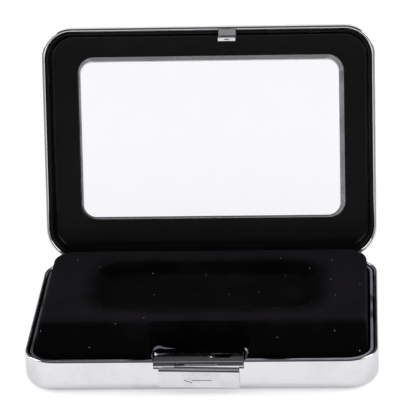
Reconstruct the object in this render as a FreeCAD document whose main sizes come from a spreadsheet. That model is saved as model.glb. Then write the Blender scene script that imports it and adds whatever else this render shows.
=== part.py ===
import FreeCAD, Part
import math
import os
import re
import Sketcher
from FreeCAD import Placement, Rotation, Vector

# Small hinged display case: a drawn sheet tray, a lid with a clear window, a flocked insert and a
# sliding catch. Millimetres. The origin is the centre of the tray's underside, +X runs along the
# front from left to right, +Y runs to the hinge and +Z is up. The lid stands open.
SIZES = {
    # shells
    "case_width": 92.0,
    "case_depth": 64.5,
    "corner_radius": 8.5,
    "sheet_wall": 0.5,
    "hem_width": 0.95,
    "hem_height": 1.4,
    "hem_edge": 0.3,
    "tray_height": 8.9,
    "base_round": 2.5,
    "lid_height": 7.0,
    "lid_round": 2.5,
    "rim_gap": 0.05,
    "open_angle": 103.3,
    # window, pane and liner of the lid
    "window_width": 71.7,
    "window_depth": 43.5,
    "window_radius": 3.5,
    "window_shift": -0.4,
    "pane_thickness": 1.0,
    "pane_lap": 3.0,
    "liner_sheet": 0.6,
    "liner_gap": 0.1,
    "liner_flange": 0.75,
    "liner_drop": 0.65,
    "liner_lean": 0.7,
    "liner_bevel": 0.6,
    "liner_open_width": 73.8,
    "liner_open_depth": 45.9,
    "liner_open_radius": 4.6,
    "liner_open_side": 0.35,
    "liner_open_shift": -0.8,
    "liner_catch_gap": 0.05,
    # hinge
    "hinge_offset": 0.2,
    "hinge_length": 56.0,
    "leaf_sheet": 0.45,
    "leaf_reach": 4.3,
    "knuckle_gap": 0.15,
    "notch_gap": 0.3,
    "pin_clearance": 0.05,
    # liner and insert of the tray
    "tray_liner_sheet": 0.7,
    "tray_liner_gap": 0.45,
    "tray_liner_drop": 0.35,
    "tray_liner_bevel": 0.6,
    "tray_liner_cut_gap": 0.5,
    "insert_sheet": 0.7,
    "insert_gap": 0.25,
    "insert_lean": 0.6,
    "insert_rise": 4.4,
    "insert_round": 1.4,
    "slope_run": 12.2,
    "slope_foot": 0.3,
    "slope_round": 2.5,
    "well_width": 59.0,
    "well_length": 29.4,
    "well_radius": 7.0,
    "well_sink": 2.4,
    "well_taper": 40.0,
    "well_round": 0.9,
    "well_bevel": 0.6,
    "notch_left": 14.2,
    "notch_right": 12.8,
    "notch_back": 12.6,
    "notch_floor": 4.3,
    "notch_radius": 2.2,
    # fixed guide of the latch
    "latch_centre": -0.3,
    "latch_width": 23.2,
    "latch_sheet": 0.4,
    "latch_drop": 0.05,
    "latch_fit": 0.1,
    "roll_radius": 1.05,
    "lip_length": 0.2,
    "plate_reach": 5.9,
    "rear_flange": 2.6,
    "leg_width": 3.0,
    "leg_length": 5.0,
    "latch_notch": 2.2,
    "slot_centre": 5.25,
    "slot_length": 5.9,
    "slot_width": 3.0,
    "slot_radius": 1.44,
    "slot_shift": 0.2,
    "lug_window_wall": 0.15,
    # slider of the latch
    "slide_travel": 2.5,
    "lug_centre": 0.45,
    "lug_width": 8.7,
    "lug_gap": 0.15,
    "thumb_centre": -0.2,
    "thumb_width": 20.8,
    "thumb_drop": 2.55,
    "thumb_height": 4.45,
    "thumb_stand": 0.85,
    "joggle_rise": 0.7,
    "shoulder_gap": 0.2,
    "shoulder_drop": 0.95,
    "blade_drop": 0.75,
    "blade_left": 6.0,
    "blade_front": 1.2,
    "blade_back": 4.4,
    "hook_bite": 0.7,
    # spring of the latch
    "spring_wire": 0.25,
    "spring_radius": 0.6,
    "spring_turns": 6.0,
    "spring_place": 2.8,
    "spring_drop": 1.6,
    "nose_length": 0.8,
    # hook of the lid
    "catch_centre": 5.45,
    "catch_width": 4.8,
    "catch_sheet": 0.5,
    "catch_bend": 0.2,
    "catch_reach": 3.6,
    "catch_leg": 3.6,
    "hook_length": 3.2,
    "hook_notch": 0.95,
    "hook_notch_gap": 0.2,
    "hook_hole": 0.4,
}

KNUCKLES = 5
WIRE_SIDES = 4
FRONT = "(-case_depth / 2)"
BACK = "(case_depth / 2)"
LID_MIDDLE = "(-hinge_offset - case_depth / 2)"
LID_FRONT = "(-hinge_offset - case_depth)"
KNUCKLE_RADIUS = "(hinge_offset + sheet_wall + leaf_sheet)"
BORE_RADIUS = "(hinge_offset + sheet_wall)"
# a cutting outline runs this far past the metal it cuts
PAST = 1.0
# leg of the bevel that touches an arc at its middle, as a share of the arc's radius
BEVEL_SHARE = 2 - math.sqrt(2)
LATCH_TOP = "(tray_height - latch_drop)"
THUMB_TOP = "(tray_height - thumb_drop)"
SHOULDER_TOP = "(tray_height - shoulder_drop)"
LATCH_LEFT = "(latch_centre - latch_width / 2)"
LATCH_RIGHT = "(latch_centre + latch_width / 2)"
CATCH_LEFT = "(catch_centre - catch_width / 2)"
INSERT_INSET = "(hem_width + tray_liner_gap + tray_liner_sheet + insert_gap)"
INSERT_RADIUS = "(corner_radius - %s)" % INSERT_INSET
INSERT_FLOOR = "(sheet_wall + tray_liner_sheet)"
INSERT_TOP = "(tray_height + insert_rise)"
PANE_UNDER = "(lid_height - sheet_wall - pane_thickness)"
LINER_INSET = "max(hem_width + liner_gap; sheet_wall + catch_sheet + liner_catch_gap)"

doc = FreeCAD.newDocument("DisplayCase")
sheet = doc.addObject("Spreadsheet::Sheet", "Sizes")
for row, (alias, number) in enumerate(SIZES.items(), start=1):
    sheet.set("A%d" % row, alias)
    sheet.set("B%d" % row, str(number))
    sheet.setAlias("B%d" % row, alias)
doc.recompute()


def bound(words):
    # an expression in the sheet's words, with the sheet's name before each of them
    return re.sub(r"[a-z]+(_[a-z]+)+", lambda found: "Sizes." + found.group(0), words)


def number(words):
    return float(sheet.evalExpression(bound(words)))


def new_body(label):
    body = doc.addObject("PartDesign::Body", label)
    body.Label = label
    return body


def origin_plane(body, role):
    return [item for item in body.Origin.OriginFeatures if item.Role == role][0]


def new_sketch(body, name, role, level):
    # a sketch on one of the body's own origin planes, lifted along the plane's normal
    sketch = body.newObject("Sketcher::SketchObject", name)
    sketch.AttachmentSupport = (origin_plane(body, role), [""])
    sketch.MapMode = "FlatFace"
    sketch.setExpression("AttachmentOffset.Base.z", bound(level))
    return sketch


def tie(sketch, kind, places, words, name):
    # a dimension of the sketch that follows the sheet
    index = sketch.addConstraint(Sketcher.Constraint(kind, *places, number(words)))
    sketch.renameConstraint(index, name)
    sketch.setExpression("Constraints." + name, bound(words))


def polygon(body, name, role, level, points):
    # a closed outline of straight lines through points given in the sheet's words
    sketch = new_sketch(body, name, role, level)
    places = [Vector(number(across), number(up), 0) for across, up in points]
    count = len(places)
    for index in range(count):
        sketch.addGeometry(Part.LineSegment(places[index], places[(index + 1) % count]), False)
    for index in range(count):
        sketch.addConstraint(Sketcher.Constraint("Coincident", index, 2, (index + 1) % count, 1))
    for index, (across, up) in enumerate(points):
        tie(sketch, "DistanceX", (-1, 1, index, 1), across, "across%d" % index)
        tie(sketch, "DistanceY", (-1, 1, index, 1), up, "up%d" % index)
    return sketch


def box_points(left, right, low, high):
    return [(left, low), (right, low), (right, high), (left, high)]


def rounded(body, name, level, width, depth, radius, side="0", shift="0"):
    # a rectangle with four round corners on the horizontal plane, centred at (side, shift)
    sketch = new_sketch(body, name, "XY_Plane", level)
    sketch.setExpression("AttachmentOffset.Base.x", bound(side))
    sketch.setExpression("AttachmentOffset.Base.y", bound(shift))
    half_width, half_depth, round_off = number(width) / 2, number(depth) / 2, number(radius)
    centres = []
    for quarter, (sign_x, sign_y) in enumerate([(1, 1), (-1, 1), (-1, -1), (1, -1)]):
        centre = Vector(sign_x * (half_width - round_off), sign_y * (half_depth - round_off), 0)
        circle = Part.Circle(centre, Vector(0, 0, 1), round_off)
        start = quarter * math.pi / 2
        sketch.addGeometry(Part.ArcOfCircle(circle, start, start + math.pi / 2), False)
        centres.append((centre, start))
    for quarter in range(4):
        here, start = centres[quarter]
        there = centres[(quarter + 1) % 4][0]
        turn = start + math.pi / 2
        reach = Vector(round_off * math.cos(turn), round_off * math.sin(turn), 0)
        sketch.addGeometry(Part.LineSegment(here + reach, there + reach), False)
    for quarter in range(4):
        line = 4 + quarter
        sketch.addConstraint(Sketcher.Constraint("Tangent", quarter, 2, line, 1))
        sketch.addConstraint(Sketcher.Constraint("Tangent", line, 2, (quarter + 1) % 4, 1))
        direction = "Horizontal" if quarter % 2 == 0 else "Vertical"
        sketch.addConstraint(Sketcher.Constraint(direction, line))
    for quarter in (1, 2, 3):
        sketch.addConstraint(Sketcher.Constraint("Equal", 0, quarter))
    sketch.addConstraint(Sketcher.Constraint("Symmetric", 0, 3, 2, 3, -1, 1))
    tie(sketch, "DistanceX", (5, 1, 7, 1), width, "width")
    tie(sketch, "DistanceY", (6, 1, 4, 1), depth, "depth")
    tie(sketch, "Radius", (0,), radius, "radius")
    return sketch


def circle(body, name, role, level, across, up, radius):
    sketch = new_sketch(body, name, role, level)
    centre = Vector(number(across), number(up), 0)
    sketch.addGeometry(Part.Circle(centre, Vector(0, 0, 1), number(radius)), False)
    tie(sketch, "DistanceX", (-1, 1, 0, 3), across, "across")
    tie(sketch, "DistanceY", (-1, 1, 0, 3), up, "up")
    tie(sketch, "Radius", (0,), radius, "radius")
    return sketch


def pad(body, sketch, length, taper=None):
    feature = body.newObject("PartDesign::Pad", sketch.Name + "Pad")
    feature.Profile = sketch
    feature.setExpression("Length", bound(length))
    if taper:
        feature.setExpression("TaperAngle", bound(taper))
    return feature


def pocket(body, sketch, length, forward=False, taper=None):
    # a cut against the sketch's normal, or along it where forward is set, that must remove something
    doc.recompute()
    before = body.Tip.Shape.Volume
    feature = body.newObject("PartDesign::Pocket", sketch.Name + "Pocket")
    feature.Profile = sketch
    feature.setExpression("Length", bound(length))
    feature.Reversed = forward
    if taper:
        feature.setExpression("TaperAngle", bound(taper))
    doc.recompute()
    if feature.Shape.Volume > before - 1e-4:
        raise ValueError("%s cuts nothing" % feature.Name)
    return feature


def dress(body, kind, name, size_property, size, chosen):
    doc.recompute()
    tip = body.Tip
    edges = ["Edge%d" % (index + 1) for index, edge in enumerate(tip.Shape.Edges) if chosen(edge)]
    if not edges:
        raise ValueError("%s finds no edge" % name)
    feature = body.newObject("PartDesign::" + kind, name)
    feature.Base = (tip, edges)
    feature.setExpression(size_property, bound(size))


def fillet(body, name, radius, chosen):
    dress(body, "Fillet", name, "Radius", radius, chosen)


def chamfer(body, name, size, chosen):
    dress(body, "Chamfer", name, "Size", size, chosen)


def level_edge(height):
    # edges that lie flat at one height
    place = number(height)

    def test(edge):
        box = edge.BoundBox
        return abs(box.ZMin - place) < 1e-4 and abs(box.ZMax - place) < 1e-4
    return test


def side_edge(across, up):
    # edges that run along X through one point of the side view
    place = (number(across), number(up))

    def test(edge):
        box = edge.BoundBox
        flat = box.YLength < 1e-4 and box.ZLength < 1e-4
        return flat and abs(box.YMin - place[0]) < 1e-4 and abs(box.ZMin - place[1]) < 1e-4
    return test


def stand_open(body):
    # the lid's pieces are drawn closed about the hinge axis, then turned open together
    body.Placement = Placement(Vector(0, 0, 0), Rotation(Vector(1, 0, 0), -1))
    body.setExpression(".Placement.Base.y", bound("case_depth / 2 + hinge_offset"))
    body.setExpression(".Placement.Base.z", bound("tray_height"))
    body.setExpression(".Placement.Rotation.Angle", bound("-open_angle"))


def drawn_shell(body, middle, rim, crown, height, bend):
    # a drawn half: outer block, hem, hollow and bends. It opens at rim and closes at crown, which
    # is below it on the tray and above it on the lid.
    up = number(crown) > number(rim)
    low = rim if up else crown
    outline = rounded(body, body.Label + "_outline", low, "case_width", "case_depth",
                      "corner_radius", shift=middle)
    pad(body, outline, height)
    mouth = rounded(body, body.Label + "_mouth", rim, "case_width - 2 * hem_width",
                    "case_depth - 2 * hem_width", "corner_radius - hem_width", shift=middle)
    pocket(body, mouth, "hem_height", forward=up)
    under_hem = "%s %s hem_height" % (rim, "+" if up else "-")
    hollow = rounded(body, body.Label + "_hollow", under_hem, "case_width - 2 * sheet_wall",
                     "case_depth - 2 * sheet_wall", "corner_radius - sheet_wall", shift=middle)
    pocket(body, hollow, "%s - hem_height - sheet_wall" % height, forward=up)
    inner = "%s %s sheet_wall" % (crown, "-" if up else "+")
    # the hidden inner bend is a flat bevel that lies against the bend's arc
    chamfer(body, body.Label + "_inner_bend", "%.4f * (%s - sheet_wall)" % (BEVEL_SHARE, bend),
            level_edge(inner))
    fillet(body, body.Label + "_bend", bend, level_edge(crown))
    chamfer(body, body.Label + "_hem_edges", "hem_edge", level_edge(rim))


def rim_notch(body, name, rim, depth, left, right, front, back, forward):
    notch = polygon(body, name, "XY_Plane", rim, box_points(left, right, front, back))
    pocket(body, notch, depth, forward=forward)


def tray_shell():
    body = new_body("tray_shell")
    drawn_shell(body, "0", "tray_height", "0", "tray_height", "base_round")
    rim_notch(body, "latch_cut", "tray_height", "latch_notch",
              LATCH_LEFT + " - latch_fit", LATCH_RIGHT + " + latch_fit",
              "%s - %g" % (FRONT, PAST), FRONT + " + 2 * hem_width", False)
    rim_notch(body, "hinge_cut", "tray_height", KNUCKLE_RADIUS + " + notch_gap",
              "-hinge_length / 2 - notch_gap", "hinge_length / 2 + notch_gap",
              BACK + " - 2 * hem_width", "%s + %g" % (BACK, PAST), False)


def lid_shell():
    body = new_body("lid_shell")
    drawn_shell(body, LID_MIDDLE, "rim_gap", "lid_height", "(lid_height - rim_gap)", "lid_round")
    opening = rounded(body, "window_cut", "lid_height", "window_width", "window_depth",
                      "window_radius", shift=LID_MIDDLE + " + window_shift")
    pocket(body, opening, "2 * sheet_wall")
    rim_notch(body, "lid_hinge_cut", "rim_gap", KNUCKLE_RADIUS + " + notch_gap",
              "-hinge_length / 2 - notch_gap", "hinge_length / 2 + notch_gap",
              "-hinge_offset - 2 * hem_width", "%g" % PAST, True)
    rim_notch(body, "catch_cut", "rim_gap", "hem_height", CATCH_LEFT + " - latch_fit",
              "catch_centre + catch_width / 2 + latch_fit", LID_FRONT + " + sheet_wall",
              LID_FRONT + " + 2 * hem_width", True)
    stand_open(body)


def window_pane():
    body = new_body("window_pane")
    plate = rounded(body, "pane_outline", PANE_UNDER, "window_width + 2 * pane_lap",
                    "window_depth + 2 * pane_lap", "window_radius",
                    shift=LID_MIDDLE + " + window_shift")
    pad(body, plate, "pane_thickness")
    stand_open(body)


def loft(body, name, kind, sections):
    feature = body.newObject("PartDesign::" + kind, name)
    feature.Profile = sections[0]
    feature.Sections = sections[1:]
    feature.Ruled = True
    return feature


def lid_liner():
    # a formed frame: flange at the rim, leaning wall, flat face against the pane
    body = new_body("lid_liner")
    wall = LINER_INSET + " + liner_flange"

    def section(name, level, inset):
        return rounded(body, name, level, "case_width - 2 * (%s)" % inset,
                       "case_depth - 2 * (%s)" % inset, "corner_radius - (%s)" % inset,
                       shift=LID_MIDDLE)

    outer = [section("liner_outer_rim", "liner_drop", wall + " - liner_sheet"),
             section("liner_outer_face", PANE_UNDER, wall + " + liner_lean - liner_sheet")]
    loft(body, "liner_block", "AdditiveLoft", outer)
    pad(body, section("liner_flange_outline", "liner_drop", LINER_INSET), "liner_sheet")
    face = PANE_UNDER + " - liner_sheet"
    inner = [section("liner_inner_rim", "liner_drop", wall),
             section("liner_inner_face", face, wall + " + liner_lean")]
    doc.recompute()
    loft(body, "liner_hollow", "SubtractiveLoft", inner)
    chamfer(body, "liner_corner", "liner_bevel", level_edge(face))
    opening = rounded(body, "liner_opening", PANE_UNDER, "liner_open_width", "liner_open_depth",
                      "liner_open_radius", side="liner_open_side",
                      shift=LID_MIDDLE + " + liner_open_shift")
    pocket(body, opening, "2 * liner_sheet")
    stand_open(body)


def lid_catch():
    # a strip bent twice: leg on the wall's inside, ledge at the rim, hook towards the tray
    body = new_body("lid_catch")
    leg = LID_FRONT + " + sheet_wall"
    hook = LID_FRONT + " + catch_reach"
    ledge = "rim_gap + catch_sheet"
    outline = [(leg, "rim_gap"), (hook + " - catch_sheet", "rim_gap"),
               (hook + " - catch_sheet", "-hook_length"), (hook, "-hook_length"), (hook, ledge),
               (leg + " + catch_sheet", ledge), (leg + " + catch_sheet", "catch_leg"),
               (leg, "catch_leg")]
    pad(body, polygon(body, "catch_side", "YZ_Plane", CATCH_LEFT, outline), "catch_width")
    fillet(body, "catch_outer_bend", "catch_sheet + catch_bend", side_edge(hook, ledge))
    fillet(body, "catch_inner_bend", "catch_bend", side_edge(hook + " - catch_sheet", "rim_gap"))
    low = "-blade_drop - latch_sheet - hook_notch_gap"
    high = "-blade_drop + hook_notch_gap"
    bite = polygon(body, "catch_bite", "YZ_Plane", "%s - %g" % (CATCH_LEFT, PAST),
                   box_points(hook + " - 2 * catch_sheet", hook + " + catch_sheet", low, high))
    pocket(body, bite, "%g + hook_notch" % PAST, forward=True)
    hole = circle(body, "catch_hole", "XZ_Plane", "-(%s)" % (hook + " + catch_sheet"),
                  "catch_centre", "-blade_drop - hook_hole / 2", "hook_hole")
    pocket(body, hole, "3 * catch_sheet", forward=True)
    stand_open(body)


def knuckle_spans():
    # start and length of each knuckle along the hinge
    pitch = "hinge_length / %d" % KNUCKLES
    return [("-hinge_length / 2 + %d * %s" % (index, pitch), pitch) for index in range(KNUCKLES)]


def hinge_leaf(label, axis_y, axis_z, upward, own):
    # a strip against the inside of the back wall whose edge is rolled into knuckles. own is 0 for
    # the leaf that has the first knuckle and 1 for the other one.
    body = new_body(label)
    sign = "+" if upward else "-"
    near, far = "%s - %s" % (axis_y, KNUCKLE_RADIUS), "%s - %s" % (axis_y, BORE_RADIUS)
    end = "%s %s leaf_reach" % (axis_z, sign)
    low, high = (axis_z, end) if upward else (end, axis_z)
    strip = polygon(body, label + "_strip", "YZ_Plane", "-hinge_length / 2",
                    box_points(near, far, low, high))
    pad(body, strip, "hinge_length")
    barrel = circle(body, label + "_barrel", "YZ_Plane", "-hinge_length / 2", axis_y, axis_z,
                    KNUCKLE_RADIUS)
    pad(body, barrel, "hinge_length")
    bore = circle(body, label + "_bore", "YZ_Plane", "-hinge_length / 2 - %g" % PAST, axis_y, axis_z,
                  BORE_RADIUS)
    pocket(body, bore, "hinge_length + %g" % (2 * PAST), forward=True)
    clear = "(%s + knuckle_gap)" % KNUCKLE_RADIUS
    for index, (start, pitch) in enumerate(knuckle_spans()):
        if index % 2 == own:
            continue
        gap = box_points("%s - %s" % (axis_y, clear), "%s + %s" % (axis_y, clear),
                         "%s - (%s)" % (axis_z, clear), "%s + (%s)" % (axis_z, clear))
        cut = polygon(body, "%s_gap%d" % (label, index), "YZ_Plane",
                      start + " - knuckle_gap / 2", gap)
        pocket(body, cut, pitch + " + knuckle_gap", forward=True)
    return body


def hinge_pin():
    body = new_body("hinge_pin")
    wire = circle(body, "pin_section", "YZ_Plane", "-hinge_length / 2",
                  BACK + " + hinge_offset", "tray_height", BORE_RADIUS + " - pin_clearance")
    pad(body, wire, "hinge_length")


def tray_liner():
    # a thin formed tray whose cut edge stands just under the rim
    body = new_body("tray_liner")
    inset = "2 * (hem_width + tray_liner_gap)"
    radius = "corner_radius - hem_width - tray_liner_gap"
    outline = rounded(body, "tray_liner_outline", "sheet_wall", "case_width - " + inset,
                      "case_depth - " + inset, radius)
    pad(body, outline, "tray_height - tray_liner_drop - sheet_wall")
    chamfer(body, "tray_liner_edge", "tray_liner_bevel", level_edge("sheet_wall"))
    hollow = rounded(body, "tray_liner_hollow", "tray_height - tray_liner_drop",
                     "case_width - %s - 2 * tray_liner_sheet" % inset,
                     "case_depth - %s - 2 * tray_liner_sheet" % inset,
                     radius + " - tray_liner_sheet")
    pocket(body, hollow, "tray_height - tray_liner_drop - " + INSERT_FLOOR)
    rim_notch(body, "liner_latch_cut", "tray_height", "rear_flange + 2 * tray_liner_cut_gap",
              LATCH_LEFT + " - tray_liner_cut_gap", LATCH_RIGHT + " + tray_liner_cut_gap",
              "%s - %g" % (FRONT, PAST), FRONT + " + plate_reach + tray_liner_cut_gap", False)


def display_insert():
    # a raised platform with a long front slope, a shallow well and a notch behind the latch,
    # formed from one thin sheet and open underneath
    body = new_body("display_insert")
    width = "case_width - 2 * " + INSERT_INSET
    depth = "case_depth - 2 * " + INSERT_INSET
    foot = rounded(body, "insert_foot", INSERT_FLOOR, width, depth, INSERT_RADIUS)
    top = rounded(body, "insert_plateau", INSERT_TOP, width + " - 2 * insert_lean",
                  depth + " - 2 * insert_lean", INSERT_RADIUS + " - insert_lean")
    loft(body, "insert_block", "AdditiveLoft", [foot, top])
    toe = "%s + %s" % (FRONT, INSERT_INSET)
    past_toe = "%s - %g" % (toe, PAST)
    brow = toe + " + slope_run"
    above = "%s + %g" % (INSERT_TOP, PAST)
    low = "tray_height - slope_foot"
    wedge = polygon(body, "insert_slope", "YZ_Plane", "-case_width / 2",
                    [(past_toe, low), (toe, low), (brow, INSERT_TOP), (brow, above), (past_toe, above)])
    pocket(body, wedge, "case_width", forward=True)
    fillet(body, "insert_brow", "slope_round", side_edge(brow, INSERT_TOP))
    across = level_edge(INSERT_TOP)
    behind_brow = number(brow + " + slope_round")
    fillet(body, "insert_shoulders", "insert_round",
           lambda edge: across(edge) and edge.BoundBox.YMax > behind_brow)
    middle = "(%s + case_depth / 2 - %s - insert_lean) / 2" % (brow, INSERT_INSET)
    well = rounded(body, "insert_well", INSERT_TOP, "well_width", "well_length", "well_radius",
                   shift=middle)
    pocket(body, well, "well_sink", taper="-well_taper")
    half_well = number("well_width / 2"), number("well_length / 2")
    well_middle = number(middle)

    def round_well(edge):
        # the well's own edges in the platform's top
        box = edge.BoundBox
        far_x = max(abs(box.XMin), abs(box.XMax))
        far_y = max(abs(box.YMin - well_middle), abs(box.YMax - well_middle))
        return across(edge) and far_x < half_well[0] + 1e-4 and far_y < half_well[1] + 1e-4

    fillet(body, "well_brow", "well_round", round_well)
    chamfer(body, "well_heel", "well_bevel", level_edge(INSERT_TOP + " - well_sink"))
    notch = rounded(body, "insert_notch", INSERT_TOP, "notch_left + notch_right",
                    "2 * notch_back", "notch_radius", side="(notch_right - notch_left) / 2",
                    shift=toe)
    pocket(body, notch, "insert_rise + notch_floor")
    hollow = rounded(body, "insert_hollow", INSERT_FLOOR, width + " - 2 * insert_lean - 2 * insert_sheet",
                     depth + " - insert_lean - notch_back - 2 * insert_sheet",
                     INSERT_RADIUS + " - insert_lean - insert_sheet",
                     shift="(notch_back - insert_lean) / 2")
    pocket(body, hollow, "%s - %s - well_sink - insert_sheet" % (INSERT_TOP, INSERT_FLOOR),
           forward=True)


def latch_housing():
    # a stamped strip: roll over the front rim, slotted plate, rear flange, cheeks and two legs
    body = new_body("latch_housing")
    lip = LATCH_TOP + " - roll_radius - lip_length"
    front = FRONT + " - roll_radius"
    back = FRONT + " + plate_reach"
    under = LATCH_TOP + " - latch_sheet"
    outline = [(front, lip), (front + " + latch_sheet", lip), (front + " + latch_sheet", under),
               (back + " - latch_sheet", under), (back + " - latch_sheet", "tray_height - rear_flange"),
               (back, "tray_height - rear_flange"), (back, LATCH_TOP), (front, LATCH_TOP)]
    pad(body, polygon(body, "housing_side", "YZ_Plane", LATCH_LEFT, outline), "latch_width")
    fillet(body, "housing_roll", "roll_radius", side_edge(front, LATCH_TOP))
    fillet(body, "housing_roll_inner", "roll_radius - latch_sheet",
           side_edge(front + " + latch_sheet", under))
    fillet(body, "housing_rear_bend", "1.5 * latch_sheet", side_edge(back, LATCH_TOP))
    fillet(body, "housing_rear_inner", "latch_sheet / 2", side_edge(back + " - latch_sheet", under))
    leg_front = FRONT + " + sheet_wall"
    for name, left, right in (("left", LATCH_LEFT, LATCH_LEFT + " + latch_sheet"),
                              ("right", LATCH_RIGHT + " - latch_sheet", LATCH_RIGHT)):
        cheek = box_points(front + " + latch_sheet / 2", leg_front,
                           SHOULDER_TOP + " + lug_gap", LATCH_TOP + " - latch_sheet / 2")
        pad(body, polygon(body, name + "_cheek", "YZ_Plane", left, cheek), "latch_sheet")
        wall = box_points(leg_front, back + " - latch_sheet / 2", "tray_height - rear_flange",
                          LATCH_TOP + " - latch_sheet / 2")
        pad(body, polygon(body, name + "_wall", "YZ_Plane", left, wall), "latch_sheet")
        start = left if name == "left" else right + " - leg_width"
        leg = box_points(leg_front, leg_front + " + latch_sheet", "tray_height - leg_length",
                         LATCH_TOP + " - latch_sheet / 2")
        pad(body, polygon(body, name + "_leg", "YZ_Plane", start, leg), "leg_width")
    nose = circle(body, "housing_nose", "YZ_Plane", LATCH_LEFT + " + latch_sheet / 2",
                  FRONT + " + spring_place", "tray_height - spring_drop",
                  "spring_radius - spring_wire")
    pad(body, nose, "latch_sheet / 2 + nose_length")
    opening = box_points("lug_centre - lug_width / 2 - slide_travel - lug_gap",
                         "lug_centre + lug_width / 2 + lug_gap", "%s - %g" % (front, PAST), FRONT + " - lug_window_wall")
    window = polygon(body, "lug_window", "XY_Plane", LATCH_TOP + " - latch_sheet", opening)
    pocket(body, window, "roll_radius + lip_length")
    slot = rounded(body, "hook_slot", LATCH_TOP, "slot_length", "slot_width", "slot_radius",
                   side="slot_centre", shift=FRONT + " + catch_reach - catch_sheet / 2 + slot_shift")
    pocket(body, slot, "2 * latch_sheet")


def latch_slider():
    # one bent strip: thumb plate, joggle, shoulder, lug over the rim and blade under the plate
    body = new_body("latch_slider")
    inner, outer = FRONT + " - thumb_stand", FRONT + " - thumb_stand - latch_sheet"
    near, far = FRONT + " - shoulder_gap", FRONT + " - shoulder_gap - latch_sheet"
    run = number("thumb_stand - shoulder_gap")
    bend = "latch_sheet * %.4f" % math.tan(0.5 * math.atan2(run, number("joggle_rise")))
    low = THUMB_TOP + " - thumb_height"
    high = THUMB_TOP + " + joggle_rise"
    outline = [(outer, low), (inner, low), (inner, "%s - %s" % (THUMB_TOP, bend)),
               (near, high + " - " + bend), (near, SHOULDER_TOP), (far, SHOULDER_TOP),
               (far, high), (outer, THUMB_TOP)]
    thumb_left = "thumb_centre - thumb_width / 2"
    pad(body, polygon(body, "thumb_side", "YZ_Plane", thumb_left, outline), "thumb_width")
    for index, (across, up) in enumerate((outline[2], outline[3], outline[6], outline[7])):
        fillet(body, "thumb_bend%d" % index, "0.75 * latch_sheet", side_edge(across, up))
    blade_top = "tray_height - blade_drop"
    under = blade_top + " - latch_sheet"
    lug = [(far, high), (near, high), (near, under), (FRONT + " + blade_front + latch_sheet", under),
           (FRONT + " + blade_front + latch_sheet", blade_top), (far, blade_top)]
    lug_left = "lug_centre - lug_width / 2"
    pad(body, polygon(body, "lug_side", "YZ_Plane", lug_left, lug), "lug_width")
    fillet(body, "lug_bend", "1.3 * latch_sheet", side_edge(far, blade_top))
    tip = CATCH_LEFT + " + hook_bite"
    blade = polygon(body, "blade_plan", "XY_Plane", under,
                    box_points("-blade_left", tip, FRONT + " + blade_front", FRONT + " + blade_back"))
    pad(body, blade, "latch_sheet")
    ear = box_points(FRONT + " + blade_front", FRONT + " + blade_back",
                     "tray_height - spring_drop - spring_radius - spring_wire", blade_top)
    pad(body, polygon(body, "spring_ear", "YZ_Plane", "-blade_left", ear), "latch_sheet")
    nose = circle(body, "ear_nose", "YZ_Plane", "-blade_left - nose_length",
                  FRONT + " + spring_place", "tray_height - spring_drop",
                  "spring_radius - spring_wire")
    pad(body, nose, "nose_length + latch_sheet / 2")


def latch_spring():
    # a coil between the housing's end wall and the slider's ear
    start = number(LATCH_LEFT + " + latch_sheet")
    length = number("-blade_left") - start
    wire, radius = number("spring_wire"), number("spring_radius")
    turns = number("spring_turns")
    pitch = (length - wire) / turns
    helix = Part.makeHelix(pitch, pitch * turns, radius)
    corners = []
    for step in range(WIRE_SIDES + 1):
        turn = 2 * math.pi * step / WIRE_SIDES
        corners.append(Vector(radius + wire / 2 * math.cos(turn), 0, wire / 2 * math.sin(turn)))
    coil = Part.Wire(helix).makePipeShell([Part.makePolygon(corners)], True, True)
    feature = doc.addObject("Part::Feature", "latch_spring")
    feature.Label = "latch_spring"
    feature.Shape = coil
    feature.Placement = Placement(
        Vector(start + wire / 2, number(FRONT + " + spring_place"), number("tray_height - spring_drop")),
        Rotation(Vector(0, 1, 0), 90))
    return feature


tray_shell()
tray_liner()
display_insert()
latch_housing()
latch_slider()
latch_spring()
hinge_leaf("hinge_leaf_tray", BACK + " + hinge_offset", "tray_height", False, 0)
stand_open(hinge_leaf("hinge_leaf_lid", "0", "0", True, 1))
hinge_pin()
lid_shell()
window_pane()
lid_liner()
lid_catch()
doc.recompute()

pieces = [item for item in doc.Objects if item.TypeId == "PartDesign::Body"
          or item.Label == "latch_spring"]
for item in doc.Objects:
    if "Invalid" in item.State or "Error" in item.State:
        raise ValueError("%s did not build: %s" % (item.Name, item.State))
for piece in pieces:
    if piece.Shape.isNull() or not piece.Shape.isValid() or not piece.Shape.Solids:
        raise ValueError("%s has no valid solid" % piece.Label)

os.makedirs("parts", exist_ok=True)
for piece in pieces:
    piece.Shape.exportStep("parts/%s.step" % piece.Label)
    box = piece.Shape.BoundBox
    print("%-16s %d solid %8.1f mm3  x %6.2f %6.2f  y %6.2f %6.2f  z %6.2f %6.2f" % (
        piece.Label, len(piece.Shape.Solids), piece.Shape.Volume,
        box.XMin, box.XMax, box.YMin, box.YMax, box.ZMin, box.ZMax))
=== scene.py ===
import math

import bmesh
import bpy
import numpy as np
from mathutils import Matrix, Vector


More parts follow.
